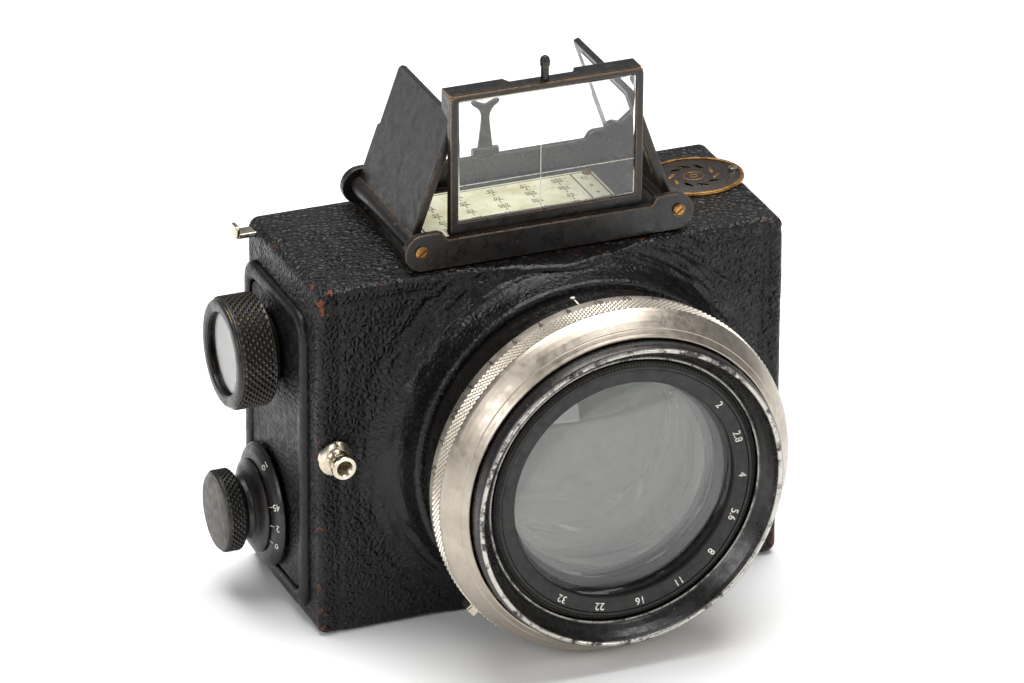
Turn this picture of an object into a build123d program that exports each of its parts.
from build123d import *
import os
from math import atan2, cos, degrees, radians, sin

os.makedirs("parts", exist_ok=True)

# Press camera for 4.5 x 6 cm plates. X runs along its width, the lens looks along -Y, Z is up.
# The origin is the centre of the tripod socket's mouth, on the underside. Sizes in millimetres.

# body
body_half = 58.2
body_height = 88.0
body_front = -23.0
body_back = 23.0
seam_y = 13.5
leather = 0.9
wall = 1.6
corner = 2.6
gap = 0.1
run = 0.05

# lens
lens_x = 3.0
lens_z = 44.0
turret_front = -35.0
barrel_step = -45.4
barrel_front = -52.0
ring_rear = -45.6
ring_front = -60.0
rim_rear = -53.5
rim_front = -64.1
rim_radius = 38.1
ring_radius = 43.6
slide_radius = 35.25
journal_radius = 37.5
neck_radius = 33.0
glass_radius = 27.3

# plate gate and shutter
gate_half_width = 28.5
gate_half_height = 21.0
gate_y = 12.6
roller_radius = 3.4
plate_left = -33.0
plate_right = 37.5
plate_thick = 1.5

# knobs on the left side
knob_y = 6.5
knob_z = 62.0
tension_y = 8.0
tension_z = 20.5
shaft_radius = 2.0
pin_radius = 1.2
gear_teeth = 12
gear_module = 0.75
panel_face = -59.1

# folding finder
finder_base_top = body_height + 1.0
hinge_x = 32.0
hinge_z = 93.4
rail_y = 20.0
rail_thick = 2.0
rail_height = 7.4
ear_radius = 4.1
wing_lean = 19.4
wing_height = 31.5
wing_thick = 1.6
wing_front = -16.0
wing_back = 18.5
frame_half = 23.8
frame_bottom = 94.6
frame_top = 129.6
frame_front = -18.6


def save(node, *solids):
    """Writes one sub-part, which can be a group of separate solids."""
    shape = solids[0] if len(solids) == 1 else Compound(children=list(solids))
    export_step(shape, f"parts/{node}.step")


def block(x0, x1, y0, y1, z0, z1):
    return Pos((x0 + x1) / 2, (y0 + y1) / 2, (z0 + z1) / 2) * Box(x1 - x0, y1 - y0, z1 - z0)


def rod_x(radius, x0, x1, y, z):
    return Pos((x0 + x1) / 2, y, z) * Rot(0, 90, 0) * Cylinder(radius, x1 - x0)


def rod_y(radius, y0, y1, x, z):
    return Pos(x, (y0 + y1) / 2, z) * Rot(90, 0, 0) * Cylinder(radius, y1 - y0)


def rod_z(radius, z0, z1, x, y):
    return Pos(x, y, (z0 + z1) / 2) * Cylinder(radius, z1 - z0)


def ring_y(outer, inner, y0, y1, x=lens_x, z=lens_z):
    return rod_y(outer, y0, y1, x, z) - rod_y(inner, y0 - 1, y1 + 1, x, z)


def turned_y(points, x=lens_x, z=lens_z):
    """Turns an outline of (radius, y) points about an axis along Y."""
    face = make_face(Polyline(*points, close=True))
    return Pos(x, 0, z) * revolve(face, Axis.Y)


def turned_x(points, y, z):
    """Turns an outline of (x, radius) points about an axis along X."""
    face = make_face(Polyline(*points, close=True))
    return Pos(0, y, z) * revolve(face, Axis.X)


def rounded_block(x0, x1, y0, y1, z0, z1, radius, axis):
    shape = block(x0, x1, y0, y1, z0, z1)
    return fillet(shape.edges().filter_by(axis), radius)


def screw_z(radius, x, y, z):
    """A small round-head screw standing up from z, with a slot across its head."""
    head = rod_z(radius, z, z + 0.7, x, y)
    head = chamfer(head.edges().group_by(Axis.Z)[-1], 0.3)
    slot = block(x - radius, x + radius, y - 0.15, y + 0.15, z + 0.4, z + 1)
    return head - slot


# ---- body ----

case_half = body_half - leather
case_front = body_front + leather
release_x = -54.0
release_z = 45.9


def side_holes(shaft, pin):
    """The holes that the two knobs' shafts pass through, on the left side."""
    left = -body_half - 5
    return rod_x(shaft, left, -50, knob_y, knob_z) + rod_x(pin, left, -50, tension_y, tension_z)


def make_casing():
    outer = block(-case_half, case_half, case_front, seam_y, leather, body_height - leather)
    outer = fillet(outer.edges().filter_by(Axis.Y), corner - leather)
    inside = block(-case_half + wall, case_half - wall, case_front + wall, seam_y + 1,
                   leather + wall, body_height - leather - wall)
    shell = outer - inside
    shell -= rod_y(34.0, case_front - 1, case_front + wall + 1, lens_x, lens_z)
    shell -= side_holes(shaft_radius + run, pin_radius + run)
    shell -= rod_z(5.6, 0, leather + wall + 1, 0, 0)
    shell -= rod_y(2.25, case_front - 1, case_front + wall + 1, release_x, release_z)
    for screw in flange_screw_places():
        shell -= rod_y(1.1, case_front - 1, case_front + wall + 1, *screw)
    save("body_casing", shell)


def flange_screw_places():
    """The centres of the screws that hold the lens flange, on a circle round the lens."""
    circle = 36.4
    return [(lens_x + circle * cos(radians(a)), lens_z + circle * sin(radians(a)))
            for a in (45, 135, 225, 315)]


def make_leather():
    outer = block(-body_half, body_half, body_front, seam_y - gap, 0, body_height)
    outer = fillet(outer.edges().filter_by(Axis.Y), corner)
    outer = fillet(outer.edges().group_by(Axis.Y)[0], 1.6)
    inside = block(-case_half, case_half, case_front, seam_y + 1, leather, body_height - leather)
    inside = fillet(inside.edges().filter_by(Axis.Y), corner - leather)
    skin = outer - inside
    skin -= rod_y(39.0, body_front - 1, case_front + 0.01, lens_x, lens_z)
    skin -= side_holes(shaft_radius + 0.6, pin_radius + 0.6)
    skin -= rod_z(7.6, -1, leather + 1, 0, 0)
    skin -= rod_y(2.4, body_front - 1, case_front + 1, release_x, release_z)
    save("body_leather", skin)


def make_turret():
    """The leather-covered collar round the lens, flared where it meets the front."""
    foot, front, bore, flare = 46.4, 41.5, 38.95, 4.0
    profile = [(bore, body_front), (foot, body_front)]
    for step in range(1, 8):
        angle = radians(90 * step / 7)
        radius = foot - flare * sin(angle) + (foot - flare - front) * -0.1 * step / 7
        profile.append((radius, body_front - flare * (1 - cos(angle))))
    profile += [(front + 0.1, turret_front + 1.2), (front - 0.8, turret_front), (bore, turret_front)]
    ring = turned_y(profile)
    trim = block(-60, 60, body_front - 20, body_front, 0.3, body_height - 0.3)
    save("lens_turret", ring & trim)


def make_side_cover():
    """The raised black rim on the left side, and the leather panel inside it."""
    y0, y1, z0, z1, width = -17.0, 22.2, 3.0, 79.2, 4.4
    rim_face = -60.0
    rim = rounded_block(rim_face, -body_half, y0, y1, z0, z1, 6.0, Axis.X)
    rim = fillet(rim.edges().group_by(Axis.X)[0], 0.8)
    hole = rounded_block(rim_face - 1, 0, y0 + width, y1 - width, z0 + width, z1 - width, 3.2, Axis.X)
    save("side_rim", rim - hole)
    panel = rounded_block(panel_face, -body_half, y0 + width + gap, y1 - width - gap,
                          z0 + width + gap, z1 - width - gap, 3.1, Axis.X)
    save("side_panel", panel - side_holes(shaft_radius + 0.6, 6.6))


def make_back():
    """The rear frame: plate window, and a channel that takes the screen or a plate holder."""
    frame = block(-body_half, body_half, seam_y + gap, body_back, 0, body_height)
    frame = fillet(frame.edges().filter_by(Axis.Y), corner)
    frame = fillet(frame.edges().group_by(Axis.Y)[-1], 1.2)
    frame -= block(-50, body_half + 1, 18.8, body_back + 1, 9, 79)
    frame -= block(lens_x - 31, lens_x + 31, seam_y - 1, 20, lens_z - 24, lens_z + 24)
    frame -= block(-body_half - 1, -44, 17.0, 21.4, 84.9, 86.5)
    frame -= block(-50.2, -45.0, 19.2, 20.6, 78, 86.5)
    save("back_frame", frame)
    rails = []
    for side in (-1, 1):
        z = lens_z + side * 32.5
        rail = block(-50, body_half, 18.8, body_back, min(z, z + side * 2.4), max(z, z + side * 2.4))
        lip = block(-50, body_half, 21.8, body_back, min(z, z - side * 2.5), max(z, z - side * 2.5))
        rails.append(rail + lip)
    save("plate_rails", *rails)
    gate = block(plate_left, plate_right + plate_thick, gate_y, seam_y + gap, 8, 80)
    gate -= block(lens_x - gate_half_width, lens_x + gate_half_width, gate_y - 1, seam_y + 1,
                  lens_z - gate_half_height, lens_z + gate_half_height)
    save("film_gate", gate)
    latch = block(-63, -45.2, 17.3, 21.1, 85.1, 86.3)
    latch += block(-63, -62, 17.3, 21.1, 85.1, 88.2)
    latch += block(-46.8, -45.4, 19.4, 20.4, 80, 86.3)
    save("back_latch", latch)


def make_screen():
    x0, x1, half = -37.0, 43.0, 32.2
    frame = block(x0, x1, 19.0, 21.5, lens_z - half, lens_z + half)
    frame += block(x0 + 4, x1 - 2, 21.4, 22.7, lens_z - half + 3.5, lens_z + half - 3.5)
    frame -= block(lens_x - 30, lens_x + 30, 18, 24, lens_z - 22.5, lens_z + 22.5)
    frame -= block(lens_x - 31.5, lens_x + 31.5, 20.4, 21.6, lens_z - 24, lens_z + 24)
    save("screen_frame", frame)
    save("ground_glass", block(lens_x - 31.4, lens_x + 31.4, 20.5, 21.5, lens_z - 23.9, lens_z + 23.9))


def make_tripod_bush():
    bush = rod_z(7.4, 0, leather - 0.02, 0, 0) + rod_z(5.5, 0, 9.5, 0, 0)
    save("tripod_bush", bush - rod_z(4.1, -1, 8.5, 0, 0))


def make_release():
    """Socket for a cable release, with the plunger that the cable pushes and its return spring."""
    x, z = release_x, release_z
    socket = rod_y(4.3, -23.9, body_front, x, z) + rod_y(2.2, -26.5, -20.6, x, z)
    socket += rod_y(2.9, -29.2, -26.2, x, z)
    socket += rod_y(1.65, -22, -13.0, x, z)
    socket -= rod_y(1.2, -30, -13.8, x, z)
    socket -= rod_y(1.9, -30, -23.6, x, z)
    socket -= rod_y(0.75, -14, -12, x, z)
    socket -= block(x - 0.4, x + 0.4, -25, body_front - 0.4, z + 3.2, z + 5)
    save("release_socket", socket)
    plunger = rod_y(1.12, -23.4, -22.6, x, z) + rod_y(0.7, -23.4, -12.2, x, z)
    save("release_plunger", plunger)
    turns, wire, coil, length = 7, 0.14, 0.93, 7.9
    path = Helix(pitch=length / turns, height=length, radius=coil)
    start = Plane(origin=path @ 0, z_dir=path % 0)
    spring = sweep(start * Circle(wire), path=path, is_frenet=True)
    save("plunger_spring", Pos(x, -22.3, z) * Rot(-90, 0, 0) * spring)


# ---- lens ----

def make_lens_mount():
    flange = ring_y(38.8, 34.0, case_front - 2.0, case_front)
    for screw in flange_screw_places():
        flange -= rod_y(1.1, case_front - 3, case_front + 1, *screw)
    save("lens_flange", flange)
    screws = []
    head_y = case_front + wall
    for x, z in flange_screw_places():
        screw = rod_y(1.9, head_y, head_y + 1.0, x, z) + rod_y(1.0, case_front - 1.8, head_y + 0.1, x, z)
        screws.append(screw - block(x - 2, x + 2, head_y + 0.5, head_y + 2, z - 0.25, z + 0.25))
    save("lens_flange_screws", *screws)
    bore, root = slide_radius + run, case_front - 2.0
    barrel = turned_y([(bore, root), (38.8, root), (38.8, turret_front - 0.02), (40.0, turret_front - 0.02),
                       (40.0, barrel_step), (journal_radius, barrel_step), (journal_radius, barrel_front),
                       (bore, barrel_front)])
    save("outer_barrel", barrel)


def make_focus_ring():
    """Nickel focusing ring: scale band at the back, knurl, then a long bevel to the front."""
    bore = journal_radius + run
    mouth = rim_radius + 0.35
    ring = turned_y([(bore, ring_rear), (42.2, ring_rear), (42.9, -47.0), (43.1, -49.0), (ring_radius, -49.3),
                     (ring_radius, -53.4), (43.2, -54.2), (42.2, -56.0), (41.2, -57.4), (40.2, -58.5),
                     (39.2, -59.5), (38.9, ring_front), (mouth, ring_front), (mouth, -52.2), (bore, -52.2)])
    save("focus_ring", ring)
    tab = block(-1.6, 1.6, -51.5, -47.0, 42.8, 45.2)
    tab = fillet(tab.edges().filter_by(Axis.Z), 0.8)
    tab -= rod_y(ring_radius + 0.02, -60, -40, 0, 0)
    save("focus_stop_tab", Pos(lens_x, 0, lens_z) * Rot(0, -130, 0) * tab)


def make_aperture_ring():
    """Black front rim: it turns on the barrel's neck and works the iris."""
    bore = neck_radius + run
    rim = turned_y([(bore, rim_rear), (rim_radius - 0.3, rim_rear), (rim_radius, rim_rear - 0.4),
                    (rim_radius, -63.2), (37.5, rim_front), (36.6, rim_front), (36.1, -63.4), (34.6, -60.6),
                    (33.6, -59.6), (bore, -59.6)])
    save("aperture_ring", rim)


def make_inner_barrel():
    """The sliding lens barrel, bored in steps for its glass, with a flat chamber for the iris."""
    barrel = turned_y([
        (glass_radius + run, -58.5), (neck_radius, -58.5), (neck_radius, -52.6), (slide_radius, -52.6),
        (slide_radius, -31.0), (25.0, -31.0), (25.0, -21.5), (21.1, -21.5), (21.1, -30.2), (20.5, -30.2),
        (20.5, -37.2), (30.0, -37.2), (30.0, -40.6), (20.5, -40.6), (20.5, -41.2), (22.1, -41.2),
        (22.1, -45.2), (24.1, -45.2), (24.1, -50.2), (glass_radius + run, -50.2)])
    save("inner_barrel", barrel)
    retainer = turned_y([(28.7, -58.5), (32.6, -58.5), (32.6, -59.4), (31.9, -60.2), (30.7, -60.2),
                         (30.7, -59.3), (28.7, -59.3)])
    save("retaining_ring", retainer)
    plate = turned_y([(28.8, -59.35), (30.6, -59.35), (30.6, -60.0), (27.3, -59.4), (27.0, -58.6), (28.6, -58.6),
                      (28.6, -59.35)])
    save("name_ring", plate)


def lens_glass(node, radius, front, rear, front_bulge, rear_bulge):
    """One glass element: rim from front to rear, with each face bulging out, or in if negative."""
    def edge(y, bulge, outward):
        if bulge == 0:
            return Line((0, y), (radius, y))
        return ThreePointArc((-radius, y), (0, y + outward * bulge), (radius, y))
    outline = edge(front, front_bulge, -1)
    back = edge(rear, rear_bulge, 1)
    whole = make_face([outline, Line((radius, front), (radius, rear)), back, Line((-radius, rear), (-radius, front))])
    half = whole & Pos(radius / 2, (front + rear) / 2) * Rectangle(radius, 60)
    save(node, Pos(lens_x, 0, lens_z) * revolve(half, Axis.Y))


def make_glass():
    lens_glass("front_element", glass_radius, -57.4, -52.6, 4.4, 0.6)
    lens_glass("second_element", 24.0, -49.4, -46.2, 1.8, -1.4)
    lens_glass("third_element", 22.0, -44.9, -41.6, -1.2, -0.8)
    lens_glass("rear_element", 21.0, -29.4, -23.4, 1.6, 3.2)


def make_iris():
    """Curved blades, each in its own layer, pivoting on one side of the chamber."""
    blades, arc_radius, half_width, layer = 6, 25.2, 3.7, 0.46
    sweep_angle = 142
    for number in range(blades):
        sector = Circle(arc_radius + half_width) - Circle(arc_radius - half_width)
        keep = make_face([
            Line((0, 0), (60, -6)), Line((60, -6), (60, 60)), Line((60, 60), (-60, 60)),
            Line((-60, 60), (-60, 60 * sin(radians(180 - sweep_angle)) / cos(radians(180 - sweep_angle)))),
            Line((-60, 60 * sin(radians(180 - sweep_angle)) / cos(radians(180 - sweep_angle))), (0, 0))])
        blade = (sector & keep) - Pos(arc_radius, 0) * Circle(0.7)
        solid = extrude(blade, 0.25)
        y = -40.2 + layer * number
        turn = 360 / blades * number
        save(f"iris_blade_{number + 1}",
             Pos(lens_x, y, lens_z) * Rot(0, turn, 0) * Rot(90, 0, 0) * solid)


# ---- shutter ----

gear_distance = gear_module * gear_teeth
upper_y = tension_y
upper_z = knob_z + (gear_distance ** 2 - (upper_y - knob_y) ** 2) ** 0.5


def gear(y, z, start):
    """A small straight-toothed gear with flat-sided teeth, its first tooth at the start angle."""
    pitch = gear_module * gear_teeth / 2
    root, tip = pitch - gear_module * 1.15, pitch + gear_module * 0.85
    wheel = Circle(root)
    for tooth in range(gear_teeth):
        flank = Polyline((root - 0.4, -0.72), (tip, -0.24), (tip, 0.24), (root - 0.4, 0.72), close=True)
        wheel += Rot(0, 0, start + 360 / gear_teeth * tooth) * make_face(flank)
    solid = extrude(wheel, 3.0)
    return Pos(-38.2, y, z) * Rot(0, 90, 0) * solid


def make_shutter():
    plates = []
    for x in (plate_left, plate_right):
        plate = block(x, x + plate_thick, 2.0, gate_y, 12, 78)
        plate -= rod_x(pin_radius + run, x - 1, x + 3, tension_y, tension_z)
        plate -= rod_x(1.5 + run, x - 1, x + 3, upper_y, upper_z)
        if x < 0:
            plate -= rod_x(shaft_radius + run, x - 1, x + 3, knob_y, knob_z)
        plates.append(plate)
    save("shutter_side_plates", *plates)
    left, right = plate_left + plate_thick + 0.3, plate_right - 0.3
    roller = rod_x(roller_radius, left, right, upper_y, upper_z)
    roller += rod_x(1.5, -39, plate_right + 1.2, upper_y, upper_z)
    line_angle = degrees(atan2(upper_y - knob_y, knob_z - upper_z))
    half_tooth = 180 / gear_teeth
    roller += gear(upper_y, upper_z, line_angle + 180 + half_tooth)
    save("upper_roller", roller)
    shaft = rod_x(shaft_radius, -67.55, plate_left + plate_thick + 0.1, knob_y, knob_z)
    save("winding_shaft", shaft + gear(knob_y, knob_z, line_angle))
    lower = rod_x(roller_radius, left, right, tension_y, tension_z)
    lower -= rod_x(2.7, left + 2, right - 2, tension_y, tension_z)
    lower -= rod_x(pin_radius + run, left - 1, right + 1, tension_y, tension_z)
    save("lower_roller", lower)
    blind_y = tension_y + roller_radius + 0.35
    blind = block(left + 1, right - 1, blind_y, blind_y + 0.25, tension_z, upper_z)
    blind -= block(left + 6, right - 6, blind_y - 1, blind_y + 1, lens_z + 9, lens_z + 12)
    save("shutter_blind", blind)


# ---- knobs ----

def make_winding_knob():
    y, z = knob_y, knob_z
    knob = turned_x([(-59.5, shaft_radius + 0.02), (-59.5, 8.8), (-61.3, 8.8), (-61.3, 12.6), (-62.0, 13.4),
                     (-69.9, 13.4), (-70.4, 13.0), (-70.4, 11.6), (-67.6, 11.6), (-67.6, shaft_radius + 0.02)], y, z)
    save("winding_knob", knob)
    bezel = turned_x([(-69.9, 10.7), (-69.9, 11.55), (-70.45, 11.55), (-70.45, 12.9), (-71.0, 12.5), (-71.2, 11.8),
                      (-71.0, 10.7)], y, z)
    save("knob_bezel", bezel)
    save("knob_dial", rod_x(11.4, -68.4, -67.65, y, z))
    save("knob_window", rod_x(11.4, -69.85, -69.1, y, z))


def make_tension_knob():
    y, z = tension_y, tension_z
    hub = 6.0
    dial = turned_x([(panel_face, hub + 0.3), (panel_face, 9.6), (-60.05, 9.6), (-60.05, 14.8), (-60.7, 14.8),
                     (-61.3, 14.1), (-62.6, 11.6), (-62.6, hub + 0.3)], y, z)
    save("tension_dial", dial)
    shaft_hole = pin_radius + 0.02
    knob = turned_x([(-59.3, shaft_hole), (-59.3, hub), (-62.8, hub), (-62.8, 11.3), (-63.4, 11.3), (-64.2, 9.6),
                     (-65.2, 8.0), (-66.4, 7.4), (-67.2, 7.8), (-67.6, 9.2), (-67.9, 9.7), (-71.7, 9.7), (-72.4, 9.0),
                     (-72.4, shaft_hole)], y, z)
    save("tension_knob", knob)
    save("tension_shaft", rod_x(pin_radius, -72.3, plate_right + plate_thick + 1.2, y, z))


# ---- finder ----

def finder_rail(y0, y1):
    rail = block(-hinge_x, hinge_x, y0, y1, body_height, body_height + rail_height)
    for side in (-1, 1):
        foot_x = side * (hinge_x + ear_radius)
        rail += block(min(foot_x, side * 27), max(foot_x, side * 27), y0, y1, body_height, hinge_z)
        rail += rod_y(ear_radius, y0, y1, side * hinge_x, hinge_z)
        rail += block(side * 27.5 - 1.5, side * 27.5 + 1.5, y0, y1, body_height, hinge_z + ear_radius)
        rail -= rod_y(1.02, y0 - 1, y1 + 1, side * hinge_x, hinge_z)
    return rail


def make_finder_base():
    inner = rail_y - rail_thick / 2
    floor = block(-33.0, 33.0, -inner, inner, body_height, finder_base_top)
    save("finder_base", floor)
    save("finder_front_rail", finder_rail(-rail_y - rail_thick / 2, -inner))
    rear = finder_rail(inner, rail_y + rail_thick / 2)
    top = body_height + rail_height
    for side in (-1, 1):
        rear += block(side * 2.7 - 0.6, side * 2.7 + 0.6, rail_y - 0.8, rail_y + 0.8, top - 0.5, top + 2.1)
    rear += rod_x(0.45, -2.7, 2.7, rail_y, top + 1.3)
    save("finder_rear_rail", rear)
    pins = []
    end = rail_y + rail_thick / 2
    for side in (-1, 1):
        pin = rod_y(1.0, -end - 0.5, end + 0.5, side * hinge_x, hinge_z)
        pin += rod_y(1.5, -end - 0.7, -end, side * hinge_x, hinge_z)
        pin += rod_y(1.5, end, end + 0.7, side * hinge_x, hinge_z)
        pins.append(pin)
    save("finder_hinge_pins", *pins)
    save("exposure_table", block(-25.0, 25.0, -14.5, 15.5, finder_base_top, finder_base_top + 0.5))


def make_lens_frame():
    """The finder's front frame: a flat border round the lens, with a flange turned back from it."""
    back = frame_front + 1.2
    depth, notch = 6.2, 4.2
    frame = block(-frame_half, frame_half, frame_front, back, frame_bottom, frame_top)
    frame += block(-frame_half, frame_half, back - 0.1, frame_front + depth, frame_top - 1.2, frame_top)
    for side in (-1, 1):
        outer, inner = side * frame_half, side * (frame_half - 1.2)
        frame += block(min(outer, inner), max(outer, inner), back - 0.1, frame_front + depth,
                       frame_top - 5.2, frame_top)
        frame += block(min(outer, inner), max(outer, inner), back - 0.1, frame_front + 2.4,
                       frame_bottom, frame_top)
    frame += block(-frame_half, frame_half, back - 0.1, frame_front + 2.4, frame_bottom, frame_bottom + 2.0)
    frame -= block(-8, 8, frame_front + notch, frame_front + 10, frame_top - 5, frame_top + 1)
    frame -= block(-22.0, 22.0, frame_front - 1, back + 0.2, frame_bottom + 3.4, frame_top - 1.2)
    frame += block(-20, 20, frame_front, frame_front + 1.2, finder_base_top, frame_bottom + 0.1)
    save("finder_lens_frame", frame)
    save("finder_lens", block(-21.9, 21.9, frame_front + 0.1, back, frame_bottom + 3.5, frame_top - 1.3))
    save("front_sight_pin", rod_z(1.2, frame_top, frame_top + 6.0, 0, frame_front + 2.0))


def make_wings():
    inner_edge = 1.8
    for side, name in ((1, "left_wing"), (-1, "right_wing")):
        plate = block(-wing_thick / 2, wing_thick / 2, wing_front, wing_back, inner_edge, wing_height)
        reach = rail_y - rail_thick / 2 - 0.3
        wing = plate + rod_y(2.2, -reach, reach, 0, 0) - rod_y(1.0 + run, -rail_y, rail_y, 0, 0)
        place = Pos(-side * hinge_x, 0, hinge_z) * Rot(0, side * wing_lean, 0)
        if side < 0:
            low, high, depth = 6.0, wing_height - 1.6, 0.5
            recess = block(-wing_thick, -wing_thick / 2 + depth, wing_front + 3, wing_back - 5, low, high)
            wing -= recess
            mirror = block(-wing_thick / 2 + 0.02, -wing_thick / 2 + depth, wing_front + 3, wing_back - 5, low, high)
            save("wing_mirror", place * mirror)
        save(name, place * wing)


def make_rear_sight():
    """A thin post that ends in two curved points, hinged on the rear rail."""
    foot = body_height + rail_height + 0.7
    outline = Polyline((-2.0, 0), (2.0, 0), (1.4, 4.0), (1.0, 9.4), (1.6, 11.2), (3.6, 12.6), (3.65, 13.6),
                       (1.9, 13.4), (0, 12.2), (-1.9, 13.4), (-3.65, 13.6), (-3.6, 12.6), (-1.6, 11.2),
                       (-1.0, 9.4), (-1.4, 4.0), close=True)
    blade = extrude(Plane.XZ * make_face(outline), 1.0, both=False)
    pivot_z = body_height + rail_height + 1.3
    blade = Pos(0, rail_y + 0.5, foot) * blade + rod_x(0.9, -2.0, 2.0, rail_y, pivot_z)
    blade -= rod_x(0.5, -5, 5, rail_y, pivot_z)
    save("rear_sight", blade)


def make_name_plate():
    x, y, width, depth, thick = 47.0, 4.6, 12.2, 10.3, 0.9
    plate = extrude(Ellipse(width, depth), thick)
    save("name_plate", Pos(x, y, body_height) * plate)
    screws = [screw_z(1.1, x + side * 10.0, y, body_height + thick) for side in (-1, 1)]
    table = finder_base_top + 0.5
    screws += [screw_z(1.1, side * 23.4, end, table) for side in (-1, 1) for end in (-13.0, 14.0)]
    save("trim_screws", *screws)


make_casing()
make_leather()
make_turret()
make_side_cover()
make_back()
make_screen()
make_tripod_bush()
make_release()
make_lens_mount()
make_focus_ring()
make_aperture_ring()
make_inner_barrel()
make_glass()
make_iris()
make_shutter()
make_winding_knob()
make_tension_knob()
make_finder_base()
make_lens_frame()
make_wings()
make_rear_sight()
make_name_plate()
print("gear distance", gear_distance, "upper roller at", upper_y, round(upper_z, 4))
print("opening radius closed", round(25.2 - 3.7 - 2 * 25.2 * sin(radians(20)), 2))
